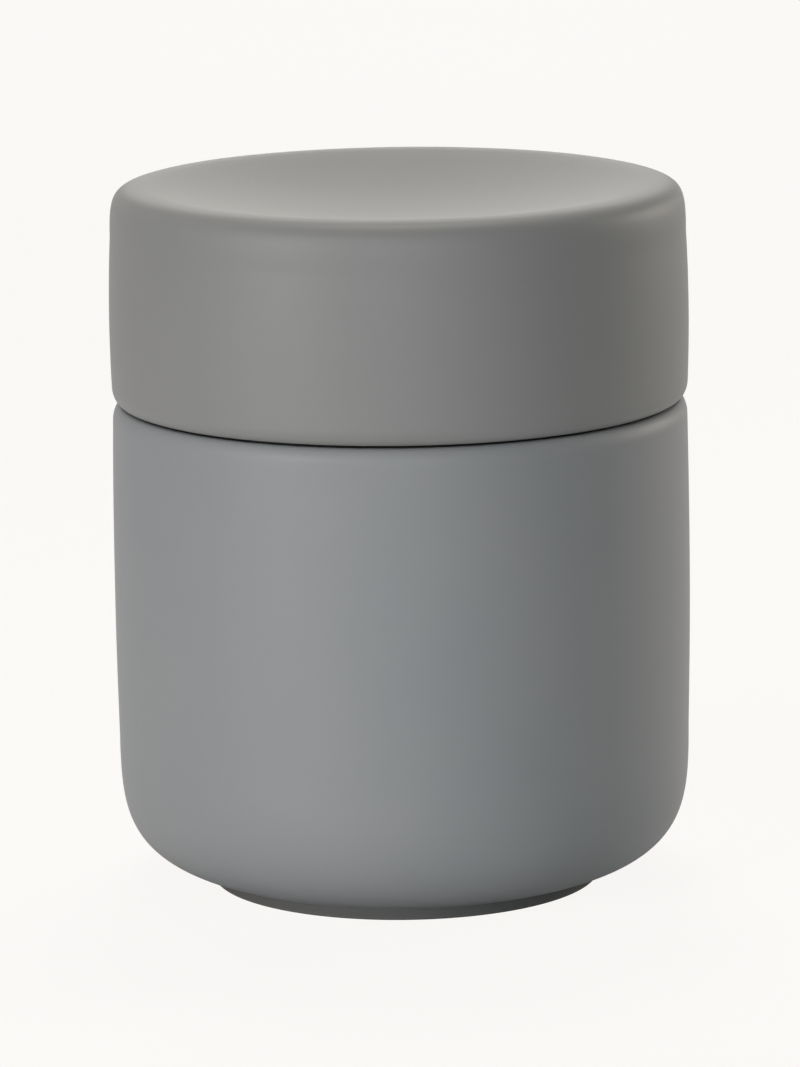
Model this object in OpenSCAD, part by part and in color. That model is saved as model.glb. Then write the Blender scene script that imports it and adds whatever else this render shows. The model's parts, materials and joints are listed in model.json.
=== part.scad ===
// Storage jar in thin-walled stoneware with a soft matt coat.
// A cup on a low turned foot carries a hollow lid with a dished top. A ribbed silicone ring
// round the lid's spigot seals it in the mouth, and an elastomer ring under the foot keeps
// the jar from sliding. The jar stands on the table at z = 0, centred on the Z axis.

/* [Jar] */
// Widest outside diameter of the jar and of its lid
jar_d = 83.5; // [78:0.5:92]
// Height of the jar's rim above the table
rim_h = 70.55; // [60:0.05:90]
// How far the side wall draws in from its widest ring to either end
jar_swell = 0.25; // [0:0.01:0.8]
// Thickness of the side wall at its widest ring
jar_wall = 4.95; // [4.2:0.05:6]
// Thickness of the floor over the base recess
floor_t = 4.6; // [3.5:0.1:7]
// Height at which the side wall turns into the belly
belly_h = 22.1; // [18:0.1:30]
// Rise of the underside where it leaves the foot, in degrees
underside_rise = 13.8; // [8:0.1:24]
// Depth of the tuck at the outside edge of the rim
rim_tuck = 1.35; // [0.6:0.05:1.6]
// Height of the tuck at the outside edge of the rim
rim_tuck_h = 2.4; // [1:0.1:4]
// Bevel that leads the seal into the mouth
mouth_bevel = 0.8; // [0.4:0.05:1.2]
// Height at which the inside wall turns into the bowl
bowl_h = 24; // [18:0.5:32]
// Diameter of the flat part of the floor inside
bowl_floor_d = 46; // [36:1:54]

/* [Foot] */
// Diameter of the turned foot
foot_d = 57.4; // [52:0.2:64]
// Width of the foot, from its outside to the base recess
foot_w = 4.6; // [4:0.1:6]
// Depth of the recess under the base, above the foot
base_recess = 1.1; // [0.5:0.1:2]
// Thickness of the non-slip ring under the foot
pad_t = 1.9; // [1.4:0.1:3]
// Step in from the foot to the outside of the non-slip ring
pad_inset = 0.15; // [0.05:0.05:0.5]
// Width of the tongue that holds the non-slip ring in the foot
tongue_w = 1.4; // [1:0.1:2]
// Height of that tongue
tongue_h = 1.3; // [0.8:0.1:2]

/* [Lid] */
// Height of the lid from its lower edge to its crest
lid_h = 31.05; // [26:0.05:38]
// How far the lid's wall draws in over half of its height
lid_swell = 0.25; // [0:0.01:0.6]
// Thickness of the lid's wall
lid_wall = 4.8; // [3.6:0.1:6]
// Thickness of the lid's top
lid_top_t = 4.7; // [3.5:0.1:6]
// Height of the tuck at the lid's lower edge
lid_tuck_h = 2.4; // [1:0.1:4]
// Height of the shoulder, from the wall up to the crest
shoulder_h = 7; // [5:0.1:9]
// Distance in from the widest outside of the lid to the crest round the dish
crest_inset = 5.25; // [4:0.05:8]
// Depth of the dish at its centre
dish_depth = 4; // [1:0.1:5]
// How far the spigot reaches below the lid's lower edge
spigot_h = 9.2; // [8:0.1:14]
// Thickness of the spigot's wall behind the seal
spigot_wall = 3.1; // [2.4:0.1:4]
// Height of the toe that keeps the seal on the spigot
toe_h = 2; // [1.5:0.1:3]
// Step out from the seal's seat to the toe
toe_step = 0.7; // [0.4:0.05:1]

/* [Seal] */
// Gap between the jar's rim and the lid's lower edge, seen as the dark seam
seam_gap = 0.35; // [0.2:0.05:0.6]
// Depth of the rebate that takes the seal's lip under the lid
lip_rebate = 0.3; // [0.2:0.05:0.6]
// Distance from the outside of the seam in to the seal's lip
lip_inset = 0.9; // [0.8:0.1:1.6]
// Thickness of the seal's sleeve
sleeve_t = 0.9; // [0.7:0.05:1.2]
// Height of each rib on the sleeve
rib_r = 0.75; // [0.5:0.05:0.85]
// Number of ribs
rib_count = 3; // [2:1:3]

/* [Clearances] */
// Radial clearance of the ribs in the mouth
mouth_fit = 0.08; // [0.05:0.01:0.1]
// Radial clearance of the sleeve on the spigot
sleeve_fit = 0.06; // [0.05:0.01:0.1]
// Clearance of the tongue in its groove, of the lip in its rebate and of the sleeve over the toe
seat_clearance = 0.3; // [0.2:0.05:0.4]

/* [Hidden] */
$fn = 180;
curve_steps = 20;
wall_steps = 10;
edge_steps = 6;

coat_grey = [0.56, 0.57, 0.57];
silicone_black = [0.06, 0.06, 0.06];
elastomer_grey = [0.22, 0.22, 0.22];

// How far along each span the handles of the curves reach
belly_foot_share = 0.95;
belly_side_share = 0.56;
bowl_side_share = 0.762;
bowl_floor_share = 0.906;
shoulder_rise_share = 0.84;
shoulder_crest_share = 0.91;
dish_crest_share = 0.09;
dish_centre_share = 0.52;
ceiling_rise_share = 0.7;
// Where along its height the lid's wall is widest
lid_widest_share = 0.41;

jar_r = jar_d/2;
foot_r = foot_d/2;
mouth_r = jar_r - jar_wall;
bowl_floor_r = bowl_floor_d/2;
wall_top_h = rim_h - rim_tuck_h;
jar_widest_h = (belly_h + wall_top_h)/2;
jar_half_h = (wall_top_h - belly_h)/2;
seam_r = jar_r - jar_swell - rim_tuck;
recess_r = foot_r - foot_w;
base_h = pad_t + base_recess;
floor_h = base_h + floor_t;

// The tongue stands in the middle of the foot's face
tongue_r = foot_r - foot_w/2;
groove_w = tongue_w + 2*seat_clearance;
groove_h = tongue_h + seat_clearance;
pad_edge = pad_t/5;

lid_edge_h = rim_h + seam_gap;
crest_h = lid_edge_h + lid_h;
crest_r = jar_r - crest_inset;
lid_wall_low_h = lid_edge_h + lid_tuck_h;
lid_wall_top_h = crest_h - shoulder_h;
lid_half_h = (lid_wall_top_h - lid_wall_low_h)/2;
lid_widest_h = lid_wall_low_h + 2*lid_half_h*lid_widest_share;
ceiling_h = crest_h - lid_top_t;

lip_r = seam_r - lip_inset;
lip_top_h = lid_edge_h + lip_rebate;
rib_tip_r = mouth_r - mouth_fit;
sleeve_r = rib_tip_r - rib_r;
sleeve_bore_r = sleeve_r - sleeve_t;
seat_r = sleeve_bore_r - sleeve_fit;
spigot_bore_r = seat_r - spigot_wall;
spigot_foot_h = lid_edge_h - spigot_h;
toe_top_h = spigot_foot_h + toe_h;
toe_bevel = toe_step/2;
sleeve_foot_h = toe_top_h + seat_clearance;
rib_pitch = (rim_h - mouth_bevel - sleeve_foot_h)/rib_count;

// Radius of the jar's side wall at a height
function jar_r_at(h) = jar_r - jar_swell*pow((h - jar_widest_h)/jar_half_h, 2);
// Radius of the lid's wall at a height
function lid_r_at(h) = jar_r - lid_swell*pow((h - lid_widest_h)/lid_half_h, 2);

// Cubic curve from a to d with handles at b and c, without its last point
function curve(a, b, c, d, steps) =
    [for (i = [0 : steps - 1]) let (t = i/steps, s = 1 - t)
        s*s*s*a + 3*s*s*t*b + 3*s*t*t*c + t*t*t*d];

// Quarter of an ellipse about c, turning from angle a by 90 degrees
function quarter(c, size, a, turn) =
    [for (i = [0 : edge_steps]) let (w = a + turn*i/edge_steps)
        [c.x + size.x*cos(w), c.y + size.y*sin(w)]];

// Outside of the jar, from the foot's edge up to the rim
function jar_outside() =
    let (foot = [foot_r, pad_t],
         side = [jar_r_at(belly_h), belly_h],
         reach = (side.x - foot.x)*belly_foot_share,
         drop = (side.y - foot.y)*belly_side_share)
    concat(
        curve(foot, foot + reach*[1, tan(underside_rise)], side - [0, drop], side, curve_steps),
        [for (i = [0 : wall_steps - 1]) let (h = belly_h + (wall_top_h - belly_h)*i/wall_steps)
            [jar_r_at(h), h]],
        quarter([seam_r, wall_top_h], [rim_tuck, rim_tuck_h], 0, 90));

// Inside of the jar, from the mouth down to the centre of the floor
function jar_inside() =
    let (side = [mouth_r, bowl_h],
         flat = [bowl_floor_r, floor_h],
         drop = (side.y - flat.y)*bowl_side_share,
         reach = (side.x - flat.x)*bowl_floor_share)
    concat(
        [[mouth_r + mouth_bevel, rim_h], [mouth_r, rim_h - mouth_bevel]],
        curve(side, side - [0, drop], flat + [reach, 0], flat, curve_steps),
        [flat, [0, floor_h]]);

// Underside of the jar, from the centre of the recess out to the foot's face
function jar_underside() =
    [[0, base_h],
     [recess_r - base_recess/2, base_h],
     [recess_r, pad_t],
     [tongue_r - groove_w/2, pad_t],
     [tongue_r - groove_w/2, pad_t + groove_h],
     [tongue_r + groove_w/2, pad_t + groove_h],
     [tongue_r + groove_w/2, pad_t]];

module jar_body() {
    color(coat_grey)
        rotate_extrude()
            polygon(concat(jar_underside(), jar_outside(), jar_inside()));
}

// The flat pad lies against the foot's face, and its tongue stands in the foot's groove
module foot_ring() {
    outside = foot_r - pad_inset;
    inside = recess_r + pad_inset;
    color(elastomer_grey)
        rotate_extrude()
            polygon(concat(
                quarter([inside + pad_edge, pad_edge], [pad_edge, pad_edge], 180, 90),
                quarter([outside - 2*pad_edge, pad_edge], [pad_edge, pad_edge], 270, 90),
                [[outside, pad_t],
                 [tongue_r + tongue_w/2, pad_t],
                 [tongue_r + tongue_w/2, pad_t + tongue_h],
                 [tongue_r - tongue_w/2, pad_t + tongue_h],
                 [tongue_r - tongue_w/2, pad_t],
                 [inside, pad_t]]));
}

// Outside of the lid, from its lower edge up over the crest to the centre of the dish
function lid_outside() =
    let (low_r = lid_r_at(lid_wall_low_h),
         tuck = low_r - seam_r,
         top = [lid_r_at(lid_wall_top_h), lid_wall_top_h],
         crest = [crest_r, crest_h],
         centre = [0, crest_h - dish_depth],
         rise = shoulder_h*shoulder_rise_share,
         run = (top.x - crest.x)*shoulder_crest_share)
    concat(
        quarter([seam_r, lid_wall_low_h], [tuck, lid_tuck_h], 270, 90),
        [for (i = [1 : wall_steps - 1])
            let (h = lid_wall_low_h + (lid_wall_top_h - lid_wall_low_h)*i/wall_steps)
            [lid_r_at(h), h]],
        curve(top, top + [0, rise], crest + [run, 0], crest, curve_steps),
        curve(crest, crest - [crest_r*dish_crest_share, 0],
            centre + [crest_r*dish_centre_share, 0], centre, curve_steps),
        [centre]);

// Inside of the lid, from under the dish down the wall and in to the spigot's bore
function lid_inside() =
    let (side_r = jar_r - lid_wall,
         centre = [0, ceiling_h - dish_depth],
         vault = [crest_r - lid_top_t/2, ceiling_h],
         side = [side_r, lid_wall_top_h - lid_top_t/2],
         shelf_h = lid_edge_h + lid_top_t,
         shelf = [side_r, shelf_h + (side_r - spigot_bore_r)/2],
         bore = [spigot_bore_r, lip_top_h],
         rise = (vault.y - side.y)*ceiling_rise_share,
         run = (side.x - vault.x)*ceiling_rise_share,
         bend = (shelf.y - bore.y)/2)
    concat(
        curve(centre, centre + [vault.x*dish_centre_share, 0],
            vault - [vault.x*dish_crest_share, 0], vault, curve_steps),
        curve(vault, vault + [run, 0], side + [0, rise], side, curve_steps),
        curve(shelf, shelf - [0, bend], bore + [0, bend], bore, curve_steps),
        [bore]);

// The spigot, from the foot of its bore round the toe and up the seal's seat to the rebate
function lid_spigot() =
    [[spigot_bore_r, spigot_foot_h + toe_bevel],
     [spigot_bore_r + toe_bevel, spigot_foot_h],
     [seat_r, spigot_foot_h],
     [seat_r + toe_step, spigot_foot_h + toe_step],
     [seat_r + toe_step, toe_top_h - toe_bevel],
     [seat_r + toe_bevel, toe_top_h],
     [seat_r, toe_top_h],
     [seat_r, lip_top_h],
     [lip_r + seat_clearance, lip_top_h],
     [lip_r + seat_clearance, lid_edge_h]];

module lid() {
    color(coat_grey)
        rotate_extrude()
            polygon(concat(lid_spigot(), lid_outside(), lid_inside()));
}

// The lip lies between the rim and the lid, and the sleeve carries the ribs down the spigot
module seal_ring() {
    color(silicone_black)
        rotate_extrude()
            union() {
                polygon([
                    [sleeve_bore_r, sleeve_foot_h],
                    [sleeve_r, sleeve_foot_h],
                    [sleeve_r, rim_h],
                    [lip_r, rim_h],
                    [lip_r, lip_top_h],
                    [sleeve_bore_r, lip_top_h]]);
                for (i = [0 : rib_count - 1])
                    translate([sleeve_r, sleeve_foot_h + rib_pitch*(i + 0.5)])
                        circle(r = rib_r);
            }
}

jar_body();
foot_ring();
lid();
seal_ring();
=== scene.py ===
# %% [markdown]
# A lidded storage jar in matt-coated stoneware.
#
# The jar is a turned form: every piece has one outline that goes once round an upright axis.
# It could be modelled by hand with subdivision, or with a Screw modifier. Here each piece is
# turned in code, because its outline can then come straight from the construction model, and
# the finish can change exactly where the outline changes.

# %% Load the construction model
import json
import math

import bmesh
import bpy
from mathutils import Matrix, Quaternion, Vector, noise


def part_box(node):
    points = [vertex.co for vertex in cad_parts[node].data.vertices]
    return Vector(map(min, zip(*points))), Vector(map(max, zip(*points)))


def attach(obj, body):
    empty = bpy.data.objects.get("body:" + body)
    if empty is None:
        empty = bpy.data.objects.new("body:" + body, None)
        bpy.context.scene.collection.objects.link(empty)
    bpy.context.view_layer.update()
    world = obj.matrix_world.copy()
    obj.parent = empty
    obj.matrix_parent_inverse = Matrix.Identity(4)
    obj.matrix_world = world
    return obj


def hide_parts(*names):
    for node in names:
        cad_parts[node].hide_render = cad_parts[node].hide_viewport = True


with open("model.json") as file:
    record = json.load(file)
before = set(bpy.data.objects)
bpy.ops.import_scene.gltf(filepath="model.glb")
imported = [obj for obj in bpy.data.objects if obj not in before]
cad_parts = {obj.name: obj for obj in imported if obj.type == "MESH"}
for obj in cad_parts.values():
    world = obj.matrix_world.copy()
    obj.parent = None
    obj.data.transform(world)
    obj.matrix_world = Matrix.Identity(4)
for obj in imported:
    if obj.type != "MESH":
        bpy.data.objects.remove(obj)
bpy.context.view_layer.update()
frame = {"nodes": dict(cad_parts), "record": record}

MM = 0.001
for node_name in frame["nodes"]:
    low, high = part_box(node_name)
    print(f"{node_name}: {2*high.x/MM:.2f} mm across, from {low.z/MM:.2f} to {high.z/MM:.2f} mm up")

# %% [markdown]
# The camera.
#
# The photograph is a product picture, taken with a long lens from a little above. The camera
# can be placed by eye, or worked out from the seam, which is a true circle: how flat its
# ellipse looks gives the tilt, and how the walls converge gives the distance. The picture is
# also turned by less than a degree, so the camera rolls by as much the other way. Blender lays
# the width of its film along the longer side of the picture, which here is the height.

# %% Place the camera
PHOTO_LONG_SIDE_PX = 1067
FOCAL_PX = 6326.0
FILM_LONG_SIDE_MM = 36.0
CAMERA_BACK = 900*MM
CAMERA_UP = 229.98*MM
TILT_DOWN = math.radians(11.2754)
TURN_LEFT = math.radians(0.0162)
ROLL = math.radians(0.7558)


def put(name, data):
    """New object in the scene, made from a camera, a mesh or a lamp."""
    thing = bpy.data.objects.new(name, data)
    bpy.context.scene.collection.objects.link(thing)
    return thing


lens = bpy.data.cameras.new("camera")
lens.sensor_width = FILM_LONG_SIDE_MM
lens.lens = FILM_LONG_SIDE_MM*FOCAL_PX/PHOTO_LONG_SIDE_PX
camera = put("camera", lens)
bpy.context.scene.camera = camera
looking = Vector((
    -math.sin(TURN_LEFT)*math.cos(TILT_DOWN),
    math.cos(TURN_LEFT)*math.cos(TILT_DOWN),
    -math.sin(TILT_DOWN)))
camera.location = (0, -CAMERA_BACK, CAMERA_UP)
camera.rotation_mode = "QUATERNION"
camera.rotation_quaternion = looking.to_track_quat("-Z", "Y") @ Quaternion((0, 0, 1), -ROLL)
print(f"a {lens.lens:.0f} mm lens, {CAMERA_BACK:.2f} m back")

# %% [markdown]
# Outlines.
#
# A turned piece is known by the line where a plane through its axis cuts it. That line could
# be typed in again as numbers, but then it could drift away from the construction model. So
# it is cut from the model's own mesh: a bisect leaves only the cut edges, and walking along
# them gives the outline in order. The walk starts low on the axis, or at the lowest point of
# a ring, and goes outward, so that the material always lies to the left.

# %% Walk along the edges of a cut
TOUCH = 0.001*MM


def turn_between(before, here, after):
    """Signed turn of an outline at a point, positive where the piece bulges outward."""
    a = here - before
    b = after - here
    return math.atan2(a.x*b.y - a.y*b.x, a.dot(b))


def walk(start, beside):
    """Vertices along a chain or a loop, from start on, outward first."""
    order = [start]
    seen = {start}
    while True:
        onward = [v for v in beside[order[-1]] if v not in seen]
        if not onward:
            return order
        order.append(max(onward, key=lambda v: v.co.x))
        seen.add(order[-1])


# %% Cut an outline from each node
ON_PLANE = TOUCH/10
STRAIGHT = math.radians(0.03)


def cut_outline(node):
    """(radius, height) points of a turned node, and whether they close into a loop."""
    cut = bmesh.new()
    cut.from_mesh(frame["nodes"][node].data)
    bmesh.ops.remove_doubles(cut, verts=cut.verts, dist=TOUCH)
    bmesh.ops.bisect_plane(
        cut, geom=cut.verts[:] + cut.edges[:] + cut.faces[:], dist=ON_PLANE,
        plane_co=(0, 0, 0), plane_no=(0, 1, 0), clear_inner=True, clear_outer=True)
    right = {v for v in cut.verts if v.co.x > -TOUCH}
    beside = {v: [e.other_vert(v) for e in v.link_edges if e.other_vert(v) in right] for v in right}
    ends = [v for v in right if len(beside[v]) == 1]
    start = min(ends or right, key=lambda v: (round(v.co.z/TOUCH), v.co.x))
    points = [Vector((v.co.x, v.co.z)) for v in walk(start, beside)]
    cut.free()
    closed = not ends
    if not closed:
        points = [Vector((0, points[0].y)), *points, Vector((0, points[-1].y))]
    kept = []
    for i, point in enumerate(points):
        after = points[(i + 1) % len(points)]
        is_end = not closed and i in (0, len(points) - 1)
        if kept and (point - kept[-1]).length < TOUCH:
            continue
        if is_end or not kept or abs(turn_between(kept[-1], point, after)) > STRAIGHT:
            kept.append(point)
    return kept, closed


outlines = {node: cut_outline(node) for node in frame["nodes"]}
for node, (points, closed) in outlines.items():
    print(f"{node}: {len(points)} outline points, {'a ring' if closed else 'reaches the axis'}")

# %% [markdown]
# The seal's lip drawn into the seam.
#
# The construction model has the silicone seal's lip plain and set back, as it is moulded. Here
# its lower corner is drawn out into the slot between rim and lid, so that the near-black
# silicone fills the slot and makes the seam a darker, thicker black line than the slot's own
# shade: painted shade. In a turned piece it is only a small bead on the outline: three corners
# in place of one, just short of the seam's mouth, and clear of the lid, which has to turn over it.

# %% Draw the seal's lip into the seam, as painted shade
BEAD_SETBACK = 0.12*MM
BEAD_PLAY = 0.07*MM
jar_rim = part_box("jar_body")[1].z
lip_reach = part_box("seal_ring")[1].x
seam_mouth = max(p.x for p in outlines["jar_body"][0] if p.y > jar_rim - TOUCH)
lid_edge = min(p.y for p in outlines["lid"][0] if p.x > seam_mouth - TOUCH)
bead_reach = seam_mouth - BEAD_SETBACK
bead_top = lid_edge - BEAD_PLAY


def lip_as_seam_shade(points):
    """Seal outline with the lower corner of its lip drawn out into the seam, as painted shade."""
    lip = [p for p in points if p.x > lip_reach - TOUCH]
    corner = points.index(min(lip, key=lambda p: p.y))
    # a near-black bead that fills the slot between rim and lid: painted shade in the seam
    bead = [(bead_reach, jar_rim), (bead_reach, bead_top), (lip_reach, bead_top)]
    return [*points[:corner], *map(Vector, bead), *points[corner + 1:]]


outlines["seal_ring"] = (lip_as_seam_shade(outlines["seal_ring"][0]), outlines["seal_ring"][1])
print(f"the lip reaches {bead_reach/MM:.2f} mm out, in a seam {(lid_edge - jar_rim)/MM:.2f} mm high")

# %% [markdown]
# Soft edges.
#
# Nothing cast in stoneware, sprayed with lacquer or moulded in rubber has a knife edge, and a
# construction model draws its curves in short straight steps. A Bevel and a Subdivision
# modifier would round both, but they also shrink the form. Here the outline itself is eased:
# sharp corners get a small round of a given radius, steps that turn gently become one smooth
# curve through the same points, and straight stretches stay straight up to a holding point.

# %% Draw a straight or a curved stretch
PARALLEL = math.radians(0.6)
CURVE_STEP = math.radians(4)
LONGEST_STEP = 2.6*MM
HOLD = 0.25*MM
SHORT = 4*HOLD
MUCH_LONGER = 2.5


def smooth_heading(before, here, after):
    """Heading of the smooth curve at a point: that of a long straight beside it, or a mean."""
    a = here - before
    b = after - here
    if a.length > MUCH_LONGER*b.length:
        return a.normalized()
    if b.length > MUCH_LONGER*a.length:
        return b.normalized()
    return (a.normalized()*b.length + b.normalized()*a.length).normalized()


def bezier(a, b, c, d, steps):
    """Points of a cubic curve, without its last one."""
    shares = [i/steps for i in range(steps)]
    return [a*(1 - t)**3 + b*3*t*(1 - t)**2 + c*3*t*t*(1 - t) + d*t**3 for t in shares]


def straight(a, b):
    """Points of a straight stretch with a holding point near both ends, without its last one."""
    length = (b - a).length
    if length < SHORT:
        return [a]
    steps = math.ceil((length - 2*HOLD)/LONGEST_STEP)
    reaches = [0] + [HOLD + (length - 2*HOLD)*i/steps for i in range(steps + 1)]
    return [a + (b - a)*(reach/length) for reach in reaches]


def stretch(a, b, heading_a, heading_b):
    """Points from a to b that leave along one heading and arrive along the other."""
    chord = (b - a).normalized()
    if heading_a is None and heading_b is None:
        return straight(a, b)
    if heading_a is None:
        heading_a = chord*(2*chord.dot(heading_b)) - heading_b
    if heading_b is None:
        heading_b = chord*(2*chord.dot(heading_a)) - heading_a
    bend = max(chord.angle(heading_a), chord.angle(heading_b))
    if bend < PARALLEL:
        return straight(a, b)
    length = (b - a).length
    steps = max(math.ceil(2*bend/CURVE_STEP), math.ceil(length/LONGEST_STEP))
    return bezier(a, a + heading_a*(length/3), b - heading_b*(length/3), b, steps)


# %% Ease the outlines
SHARP = math.radians(28)
ROUND_STEP = math.radians(11)
MOST_ROOM = 0.4


def rounded(before, here, after, cut_back, turn):
    """Points of the small round that replaces a sharp corner."""
    first = here + (before - here).normalized()*cut_back
    last = here + (after - here).normalized()*cut_back
    steps = max(2, math.ceil(turn/ROUND_STEP))
    return bezier(first, first.lerp(here, 2/3), last.lerp(here, 2/3), last, steps)


def ease(points, closed, radius):
    """Outline with rounded corners and smooth curves, through the same points."""
    count = len(points)
    around = [(points[i - 1], points[i], points[(i + 1) % count]) for i in range(count)]
    is_end = [not closed and i in (0, count - 1) for i in range(count)]
    turns = [0 if is_end[i] else abs(turn_between(*around[i])) for i in range(count)]
    headings, cuts = [], []
    for i, (before, here, after) in enumerate(around):
        sharp = is_end[i] or turns[i] > SHARP
        headings.append(None if sharp else smooth_heading(before, here, after))
        room = MOST_ROOM*min((here - before).length, (after - here).length)
        cuts.append(min(radius*math.tan(turns[i]/2), room) if sharp else 0)
    eased = []
    for i, (before, here, after) in enumerate(around):
        if cuts[i]:
            eased += rounded(before, here, after, cuts[i], turns[i])
        if i == count - 1 and not closed:
            eased.append(here)
            break
        j = (i + 1) % count
        toward = (after - here).normalized()
        eased += stretch(here + toward*cuts[i], after - toward*cuts[j], headings[i], headings[j])
    return eased


EDGE_RADIUS = {"jar_body": 0.45*MM, "lid": 0.45*MM, "foot_ring": 0.2*MM, "seal_ring": 0.12*MM}
eased = {node: ease(*outlines[node], EDGE_RADIUS[node]) for node in outlines}
for node, points in eased.items():
    print(f"{node}: eased to {len(points)} points")

# %% [markdown]
# Turning.
#
# A lathe turns the outline into rings of vertices. Three things are added that a plain Screw
# modifier can't give. The finish of each face follows its place on the outline, so the coat,
# the glaze and the bare clay meet at true edges. Every vertex remembers how tightly the
# outline bends there, as an attribute that the materials read for worn and dusty edges. And
# the fired pieces are a few hundredths of a millimetre out of true, as real casts are. Blender
# starts this noise from the clock unless it is given a seed, so one is set, and every run
# draws the same clay.

# %% Measure the bends, and draw the clay out of true
BEND_UNIT = 1*MM
WAVE_SIZE = 16*MM
WAVE_DEPTH = 0.05*MM
CLAY_SEED = 1
noise.seed_set(CLAY_SEED)


def bends(points, closed):
    """How tightly an outline bends at each point: 1 is a radius of a millimetre, outward."""
    count = len(points)
    raw = []
    for i, here in enumerate(points):
        before, after = points[i - 1], points[(i + 1) % count]
        reach = ((here - before).length + (after - here).length)/2
        is_end = not closed and i in (0, count - 1)
        raw.append(0 if is_end else turn_between(before, here, after)/reach*BEND_UNIT)
    return [(raw[i - 1] + 2*raw[i] + raw[(i + 1) % count])/4 for i in range(count)]


def fired(spot):
    """A point of a fired piece, drawn a little inward and down by a slow wave in the clay."""
    wave = noise.noise_vector(spot/WAVE_SIZE)
    inward = 1 - WAVE_DEPTH*(1 + wave.x)/2/max(spot.xy.length, WAVE_SIZE)
    return (spot.x*inward, spot.y*inward, spot.z - WAVE_DEPTH*(1 + wave.z)/2)


# %% Turn an outline into a piece
TURN_STEPS = 256


def turned(name, node, finishes, is_fired):
    """Turns a node's outline into the piece that stands for it.

    Each finish is a pair: the first outline point that has it, and its material.
    """
    points, closed = eased[node], outlines[node][1]
    vertices, rings, values = [], [], []
    for point, bend in zip(points, bends(points, closed)):
        spots = 1 if point.x < TOUCH else TURN_STEPS
        rings.append([len(vertices) + k % spots for k in range(TURN_STEPS + 1)])
        angles = [2*math.pi*k/TURN_STEPS for k in range(spots)]
        vertices += [Vector((point.x*math.cos(w), point.x*math.sin(w), point.y)) for w in angles]
        values += [bend]*spots
    faces, kinds = [], []
    for i in range(len(points) if closed else len(points) - 1):
        here, after = rings[i], rings[(i + 1) % len(points)]
        kind = sum(first <= i for first, _ in finishes) - 1
        for k in range(TURN_STEPS):
            faces.append(list(dict.fromkeys([here[k], here[k + 1], after[k + 1], after[k]])))
            kinds.append(kind)
    mesh = bpy.data.meshes.new(name)
    mesh.from_pydata([fired(v) for v in vertices] if is_fired else vertices, [], faces)
    for _, material in finishes:
        mesh.materials.append(material)
    mesh.polygons.foreach_set("material_index", kinds)
    mesh.attributes.new("bend", "FLOAT", "POINT").data.foreach_set("value", values)
    mesh.shade_smooth()
    piece = put(name, mesh)
    bodies = frame["record"]["behaviour"]["bodies"]
    body = next(body for body, members in bodies.items() if node in members)
    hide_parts(node)
    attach(piece, body)
    print(f"{name}: {len(faces)} faces, rides on {body}")


# %% [markdown]
# Shared effects.
#
# Several finishes have the same kinds of detail: soft patches of tone, a fine grain, edges
# that wear and corners that gather dust. Each is a node group, so that a material can place
# it with its own sizes and amounts. The patterns read object coordinates in metres, so a size
# in a group is a real size, and the pattern stays on its piece when the lid is lifted. Noise
# seldom leaves the range from 0.3 to 0.7, so it is stretched out of a range near there: a
# wide range gives soft patches, a narrow one broken edges, and a high one only specks.

# %% Helpers for node trees
# places of a Mix node's sockets for colours: those for numbers have the same names
FACTOR, COLOUR_A, COLOUR_B, MIXED_COLOUR = 0, 6, 7, 2


def add_node(tree, kind, inputs=None, **settings):
    """New node with its properties and its unlinked inputs set."""
    node = tree.nodes.new(kind)
    for name, value in settings.items():
        setattr(node, name, value)
    for name, value in (inputs or {}).items():
        node.inputs[name].default_value = value
    return node


def feed(tree, socket, value):
    """Links a socket to another, or sets it to a plain value."""
    if isinstance(value, bpy.types.NodeSocket):
        tree.links.new(value, socket)
    else:
        socket.default_value = value


def math_of(tree, operation, a, b):
    """One step of arithmetic on sockets or numbers."""
    node = add_node(tree, "ShaderNodeMath", operation=operation)
    feed(tree, node.inputs[0], a)
    feed(tree, node.inputs[1], b)
    return node.outputs[0]


def remap(tree, value, low, high, to_low=0.0, to_high=1.0):
    """Value carried from one range to another, clamped."""
    ends = {"From Min": low, "From Max": high, "To Min": to_low, "To Max": to_high}
    node = add_node(tree, "ShaderNodeMapRange", ends)
    tree.links.new(value, node.inputs["Value"])
    return node.outputs["Result"]


def mixed(tree, factor, a, b):
    """Colour between two colours, each a socket or a plain colour."""
    node = add_node(tree, "ShaderNodeMix", data_type="RGBA")
    feed(tree, node.inputs[FACTOR], factor)
    feed(tree, node.inputs[COLOUR_A], a)
    feed(tree, node.inputs[COLOUR_B], b)
    return node.outputs[MIXED_COLOUR]


# %% Helpers for patterns and groups
# levels of detail in a noise, below its own size
SOFT, FINE, RAGGED = 2.0, 3.0, 4.0


def cloud(tree, size, detail):
    """Noise in object space with features of a size in metres, a socket or a number."""
    place = add_node(tree, "ShaderNodeTexCoord")
    pattern = add_node(tree, "ShaderNodeTexNoise", {"Detail": detail})
    tree.links.new(place.outputs["Object"], pattern.inputs["Vector"])
    tree.links.new(math_of(tree, "DIVIDE", 1.0, size), pattern.inputs["Scale"])
    return pattern.outputs["Fac"]


def bend_of(tree):
    """How tightly the outline bends at a spot of a piece, positive outward."""
    return add_node(tree, "ShaderNodeAttribute", attribute_name="bend").outputs["Fac"]


def new_group(name, inputs, outputs):
    """Shader group with named number sockets, with what it is given and what it gives."""
    group = bpy.data.node_groups.new(name, "ShaderNodeTree")
    for label, value in inputs.items():
        socket = group.interface.new_socket(label, in_out="INPUT", socket_type="NodeSocketFloat")
        socket.default_value = value
    for label in outputs:
        group.interface.new_socket(label, in_out="OUTPUT", socket_type="NodeSocketFloat")
    given = add_node(group, "NodeGroupInput").outputs
    gives = add_node(group, "NodeGroupOutput").inputs
    return group, given, gives


def placed(tree, group, values):
    """Outputs of a group that is placed in a tree with its own values."""
    return add_node(tree, "ShaderNodeGroup", values, node_tree=group).outputs


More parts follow.
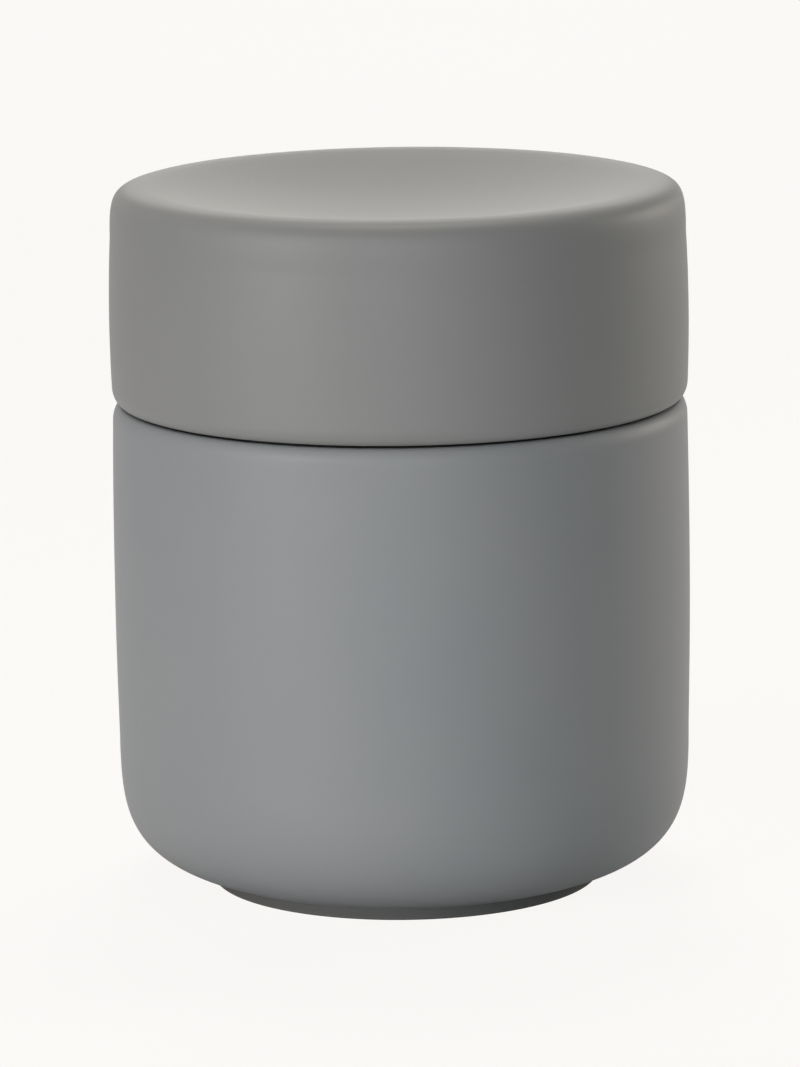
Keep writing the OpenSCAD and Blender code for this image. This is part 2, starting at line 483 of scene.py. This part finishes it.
# %% Soft patches, from the overlapping passes of a spray gun
soft_patches, given, gives = new_group("soft_patches", {"Patch Size": 20*MM}, ["Patch"])
drift = cloud(soft_patches, given["Patch Size"], SOFT)
feed(soft_patches, gives["Patch"], remap(soft_patches, drift, 0.3, 0.7))

# %% Fine grain, as a height in metres and as a mask
fine_grain, given, gives = new_group(
    "fine_grain", {"Grain Size": 0.3*MM, "Depth": 0.01*MM}, ["Height", "Grain"])
grain = cloud(fine_grain, given["Grain Size"], FINE)
feed(fine_grain, gives["Grain"], remap(fine_grain, grain, 0.25, 0.75))
feed(fine_grain, gives["Height"], math_of(fine_grain, "MULTIPLY", grain, given["Depth"]))

# %% Worn edges, where the outline bends tightly outward
worn_edge, given, gives = new_group(
    "worn_edge", {"Amount": 0.5, "Breakup Size": 1*MM}, ["Wear"])
tight = remap(worn_edge, bend_of(worn_edge), 0.3, 2.0)
broken = remap(worn_edge, cloud(worn_edge, given["Breakup Size"], RAGGED), 0.35, 0.65)
wear = math_of(worn_edge, "MULTIPLY", tight, broken)
feed(worn_edge, gives["Wear"], math_of(worn_edge, "MULTIPLY", wear, given["Amount"]))

# %% Settled dust, in inner corners, as fine specks and as a thin haze
HAZE_SIZE = 9*MM
HAZE_STRENGTH = 0.4
settled_dust, given, gives = new_group(
    "settled_dust", {"Amount": 0.5, "Speck Size": 0.4*MM}, ["Dust"])
inner = remap(settled_dust, bend_of(settled_dust), -0.2, -1.5)
specks = remap(settled_dust, cloud(settled_dust, given["Speck Size"], SOFT), 0.68, 0.8)
haze = remap(settled_dust, cloud(settled_dust, HAZE_SIZE, FINE), 0.35, 0.75, 0.0, HAZE_STRENGTH)
dust = math_of(settled_dust, "MAXIMUM", math_of(settled_dust, "MAXIMUM", inner, specks), haze)
feed(settled_dust, gives["Dust"], math_of(settled_dust, "MULTIPLY", dust, given["Amount"]))
print("effects:", ", ".join(group.name for group in bpy.data.node_groups))

# %% [markdown]
# The coat.
#
# The outside is sprayed with a soft-touch lacquer, a cool grey on the jar. The lid has a darker,
# warmer copy of the same coat: its darker tone is painted shade, for the lid stands higher above
# the table, where the lamps give less light. The coat is not quite flat: the passes of the gun
# leave patches that differ by a shade, the surface has a very fine grain, the edges are a trace
# paler where they are handled, and a breath of dust lies in the seam. Its gloss is low, but at a
# glancing angle it still mirrors the bright room, so a Principled shader with a mid roughness
# suits it better than a purely diffuse one.

# %% Helpers for materials
def new_material(name, sockets):
    """Material with its tree and its Principled shader, whose plain sockets are set."""
    material = bpy.data.materials.new(name)
    material.use_nodes = True
    shader = material.node_tree.nodes["Principled BSDF"]
    for label, value in sockets.items():
        shader.inputs[label].default_value = value
    return material, material.node_tree, shader.inputs


def surface(tree, sockets, colour, grain, smoothest, roughest):
    """Gives a shader its colour, and from a placed grain its roughness and its relief."""
    feed(tree, sockets["Base Color"], colour)
    feed(tree, sockets["Roughness"], remap(tree, grain["Grain"], 0.0, 1.0, smoothest, roughest))
    bump = add_node(tree, "ShaderNodeBump", {"Strength": 1.0, "Distance": 1.0})
    feed(tree, bump.inputs["Height"], grain["Height"])
    feed(tree, sockets["Normal"], bump.outputs["Normal"])


def print_made(*materials):
    """Says which materials are mixed, and of how many nodes."""
    print("mixed:", ", ".join(f"{m.name} of {len(m.node_tree.nodes)} nodes" for m in materials))


# %% Mix the coat
WORN_TONE = (0.36, 0.36, 0.35, 1)


def coat(name, tone, other_tone):
    """Soft-touch lacquer between two close tones."""
    material, tree, sockets = new_material(name, {"IOR": 1.5})
    patch = placed(tree, soft_patches, {"Patch Size": 26*MM})["Patch"]
    grain = placed(tree, fine_grain, {"Grain Size": 0.34*MM, "Depth": 0.011*MM})
    wear = placed(tree, worn_edge, {"Amount": 0.25, "Breakup Size": 1.4*MM})["Wear"]
    dust = placed(tree, settled_dust, {"Amount": 0.08, "Speck Size": 0.45*MM})["Dust"]
    mark = math_of(tree, "MAXIMUM", wear, dust)
    sprayed = mixed(tree, patch, tone, other_tone)
    surface(tree, sockets, mixed(tree, mark, sprayed, WORN_TONE), grain, 0.5, 0.56)
    return material


jar_coat = coat("jar_coat", (0.301, 0.305, 0.310, 1), (0.287, 0.297, 0.307, 1))
# the lid's darker tone is painted shade: the jar's coat, shaded for the lid's height above the table
shaded_lid_coat = coat("shaded_lid_coat", (0.274, 0.272, 0.265, 1), (0.263, 0.263, 0.258, 1))
print_made(jar_coat, shaded_lid_coat)

# %% [markdown]
# Glaze and bare clay.
#
# Inside, where food or cotton wool touches it, the stoneware has a smooth glaze with a soft
# shine and a faint orange-peel wave. Under the base it is left bare, because a glazed foot
# would stick to the kiln shelf: rough, warmer in tone and flecked with iron.

# %% Mix the glaze and the bare clay
FLECK_SIZE = 0.7*MM


def glaze():
    """Satin glaze with a slow wave and a fine orange peel."""
    material, tree, sockets = new_material("glaze", {"IOR": 1.52})
    patch = placed(tree, soft_patches, {"Patch Size": 12*MM})["Patch"]
    peel = placed(tree, fine_grain, {"Grain Size": 1.6*MM, "Depth": 0.02*MM})
    dust = placed(tree, settled_dust, {"Amount": 0.5, "Speck Size": 0.5*MM})["Dust"]
    clear = mixed(tree, patch, (0.235, 0.235, 0.23, 1), (0.27, 0.268, 0.26, 1))
    surface(tree, sockets, mixed(tree, dust, clear, (0.34, 0.33, 0.31, 1)), peel, 0.2, 0.28)
    return material


def bare_clay():
    """Unglazed stoneware with a coarse grain and iron flecks."""
    material, tree, sockets = new_material("bare_clay", {"IOR": 1.45})
    grain = placed(tree, fine_grain, {"Grain Size": 0.5*MM, "Depth": 0.06*MM})
    patch = placed(tree, soft_patches, {"Patch Size": 9*MM})["Patch"]
    clay = mixed(tree, patch, (0.42, 0.38, 0.33, 1), (0.36, 0.32, 0.28, 1))
    fleck = remap(tree, cloud(tree, FLECK_SIZE, SOFT), 0.66, 0.72)
    surface(tree, sockets, mixed(tree, fleck, clay, (0.12, 0.09, 0.07, 1)), grain, 0.8, 0.95)
    return material


inner_glaze = glaze()
foot_clay = bare_clay()
print_made(inner_glaze, foot_clay)

# %% [markdown]
# Rubber.
#
# The seal is black silicone, and the ring under the foot a dark grey rubber, so the foot shows
# as a dark band. Both are matt with a fine moulded grain, and both hold a little dust. Where the
# seal's lip fills the seam it is painted shade, the darkest line on the jar, but there it is seen
# edge-on, where even a matt surface mirrors the pale room. So its specular level is low and its
# dust is dark. The foot ring also shows paler scuffs where it slides on the table.

# %% Mix the rubbers
def rubber(name, tone, dusty_tone, grain_size, dust_amount, wear_amount, shine):
    """Moulded rubber with dust in its corners and scuffs on its edges."""
    material, tree, sockets = new_material(name, {"IOR": 1.42, "Specular IOR Level": shine})
    grain = placed(tree, fine_grain, {"Grain Size": grain_size, "Depth": 0.012*MM})
    dust = placed(tree, settled_dust, {"Amount": dust_amount, "Speck Size": 0.25*MM})["Dust"]
    wear = placed(tree, worn_edge, {"Amount": wear_amount, "Breakup Size": 0.8*MM})["Wear"]
    mark = math_of(tree, "MAXIMUM", dust, wear)
    surface(tree, sockets, mixed(tree, mark, tone, dusty_tone), grain, 0.6, 0.72)
    return material


# the seal's near-black also fills the seam, where it is painted shade
silicone = rubber(
    "silicone", (0.004, 0.004, 0.0042, 1), (0.03, 0.029, 0.028, 1),
    grain_size=0.2*MM, dust_amount=0.2, wear_amount=0.1, shine=0.1)
# the ring under the foot in a dark grey, which makes the foot a dark band
elastomer = rubber(
    "elastomer", (0.100, 0.100, 0.097, 1), (0.17, 0.167, 0.16, 1),
    grain_size=0.3*MM, dust_amount=0.3, wear_amount=0.4, shine=0.5)
print_made(silicone, elastomer)

# %% [markdown]
# The jar.
#
# Its outline runs from the middle of the base under the foot, up the belly and the wall, over
# the rim and down inside to the middle of the floor. Bare clay ends at the edge of the foot,
# and the coat ends where the bevel leads into the mouth. The ring under the foot is a piece
# of its own in a dark grey rubber, which makes the foot a dark band.

# %% Turn the jar and its foot ring
def first_point(node, start, meets):
    """Place on a node's outline of the first point from start on that meets a test."""
    return next(i for i in range(start, len(eased[node])) if meets(eased[node][i]))


foot_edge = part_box("foot_ring")[1].x
coat_starts = first_point("jar_body", 0, lambda p: p.x > foot_edge)
glaze_starts = first_point(
    "jar_body", coat_starts, lambda p: p.y > jar_rim - TOUCH and p.x < lip_reach)
jar_finishes = [(0, foot_clay), (coat_starts, jar_coat), (glaze_starts, inner_glaze)]
turned("jar_in_coat", "jar_body", jar_finishes, is_fired=True)
turned("foot_ring_moulded", "foot_ring", [(0, elastomer)], is_fired=False)

# %% [markdown]
# The lid and its seal.
#
# The lid's outline starts under the middle of the dish, goes out along the ceiling, down the
# inside, round the spigot that carries the seal, and from the lower edge up the outside to
# the dish. The coat starts at the lower edge. The seal keeps its own body, because it lifts
# with the lid while the lid can still turn in it.

# %% Turn the lid and its seal
lid_coat_starts = first_point(
    "lid", 0, lambda p: p.x > lip_reach + EDGE_RADIUS["lid"]/2 and p.y > jar_rim)
lid_finishes = [(0, inner_glaze), (lid_coat_starts, shaded_lid_coat)]
turned("lid_in_coat", "lid", lid_finishes, is_fired=True)
turned("seal_moulded", "seal_ring", [(0, silicone)], is_fired=False)

# %% [markdown]
# Floor and room.
#
# The jar stands on a plain pale floor that runs into an equally pale room, so no horizon
# shows. A sheet lit until it is white would also flood the jar with light. Instead the pale
# tone is shown by Light Path only to the camera and in gloss or glass, less what the lamps
# themselves put on the floor there. That small share of real shading keeps the jar's shadow,
# and it fades to nothing further out, so that the floor meets the room without an edge.
# In a coat that is seen edge-on the floor is mirrored, and close round the foot a real floor
# is dark there: for such rays the floor's tone fades where the jar hides it from the room.

# %% Lay the floor
PALE = (0.956, 0.939, 0.921, 1)
BOUNCE = (0.6, 0.6, 0.6, 1)
FLOOR_SIZE = 6.0
SHADED_SHARE = 0.12
LAMPS_ON_FLOOR = 0.4
SHADING_FADES, SHADING_ENDS = 0.5, 2.2
SHADE_REACH = 80*MM
SHADE_RAYS = 4


def seen_plainly(tree):
    """1 for rays that show a surface as it is: from the camera, a mirror or glass."""
    path = add_node(tree, "ShaderNodeLightPath").outputs
    either = math_of(tree, "MAXIMUM", path["Is Camera Ray"], path["Is Glossy Ray"])
    return math_of(tree, "MAXIMUM", either, path["Is Transmission Ray"])


floor_mesh = bpy.data.meshes.new("floor")
half = FLOOR_SIZE/2
floor_mesh.from_pydata(
    [(-half, -half, 0), (half, -half, 0), (half, half, 0), (-half, half, 0)], [], [(0, 1, 2, 3)])
floor = put("floor", floor_mesh)
floor_material, tree, sockets = new_material(
    "pale_floor", {"Roughness": 0.9, "Specular IOR Level": 0.0, "Emission Color": PALE})
plain = seen_plainly(tree)
away = add_node(tree, "ShaderNodeVectorMath", operation="LENGTH")
tree.links.new(add_node(tree, "ShaderNodeTexCoord").outputs["Object"], away.inputs[0])
share = remap(tree, away.outputs["Value"], SHADING_FADES, SHADING_ENDS, SHADED_SHARE, 0.0)
feed(tree, sockets["Base Color"], mixed(tree, plain, BOUNCE, share))
lamp_share = math_of(tree, "MULTIPLY", share, LAMPS_ON_FLOOR)
own_light = math_of(tree, "MULTIPLY", plain, math_of(tree, "SUBTRACT", 1.0, lamp_share))
seen_directly = add_node(tree, "ShaderNodeLightPath").outputs["Is Camera Ray"]
nearby = add_node(tree, "ShaderNodeAmbientOcclusion", {"Distance": SHADE_REACH}, samples=SHADE_RAYS)
fading = math_of(tree, "MAXIMUM", seen_directly, nearby.outputs["AO"])
feed(tree, sockets["Emission Strength"], math_of(tree, "MULTIPLY", own_light, fading))
floor_mesh.materials.append(floor_material)
print(f"a floor {FLOOR_SIZE:.0f} m square, with real shading up to {SHADING_ENDS:.1f} m from the jar")

# %% Set the room
world = bpy.data.worlds.new("room")
bpy.context.scene.world = world
world.use_nodes = True
tree = world.node_tree
sky = tree.nodes["Background"].inputs
feed(tree, sky["Color"], PALE)
feed(tree, sky["Strength"], seen_plainly(tree))
print("the room is seen by the camera and in gloss, and gives the jar no light of its own")

# %% [markdown]
# Light.
#
# The photograph has a broad soft light from the left, a weak cool one from the front, which
# leave the right side in shade up to a warm edge light, and light from above and behind that
# grazes the dish. All of it grows a little towards the table. So each lamp is a panel, set by
# its compass direction, with 0 in front and 90 to the right, and by its rise above the table.
# The three that light the walls have a narrowed beam that is aimed low: their light falls off
# evenly up the jar.

# %% Hang the lamps
LAMP_AWAY = 1.3
LAMP_SIZE = 0.5
OPEN_BEAM = 180
AIM_LOW, AIM_MIDDLE = Vector((0, 0, -20*MM)), Vector((0, 0, 50*MM))
LAMPS = {
    "key_left": dict(compass=-45, rise=10, beam=30, watts=0.48, tint=(1.01, 0.985, 0.975)),
    "fill_front": dict(compass=0, rise=10, beam=30, watts=0.22, tint=(0.90, 1.0, 1.04)),
    "edge_right": dict(compass=120, rise=12, beam=26, watts=0.235, tint=(1.07, 0.99, 0.90)),
    "top": dict(compass=180, rise=70, beam=OPEN_BEAM, watts=5.1, tint=(1.03, 1.0, 0.94)),
    "low_back": dict(compass=180, rise=20, beam=OPEN_BEAM, watts=1.45, tint=(1.0, 1.0, 0.95)),
}
for name, lamp in LAMPS.items():
    light = bpy.data.lights.new(name, "AREA")
    light.size = LAMP_SIZE
    light.energy = lamp["watts"]
    light.color = lamp["tint"]
    light.spread = math.radians(lamp["beam"])
    compass, rise = math.radians(lamp["compass"]), math.radians(lamp["rise"])
    direction = Vector((
        math.sin(compass)*math.cos(rise), -math.cos(compass)*math.cos(rise), math.sin(rise)))
    hung = put(name, light)
    aim = AIM_MIDDLE if lamp["beam"] == OPEN_BEAM else AIM_LOW
    hung.location = aim + direction*LAMP_AWAY
    hung.rotation_mode = "QUATERNION"
    hung.rotation_quaternion = direction.to_track_quat("Z", "Y")
print("lamps:", ", ".join(LAMPS))

# %% [markdown]
# Finish.
#
# The Standard view transform shows colours as written.

# %% Finish
bpy.context.scene.view_settings.view_transform = "Standard"
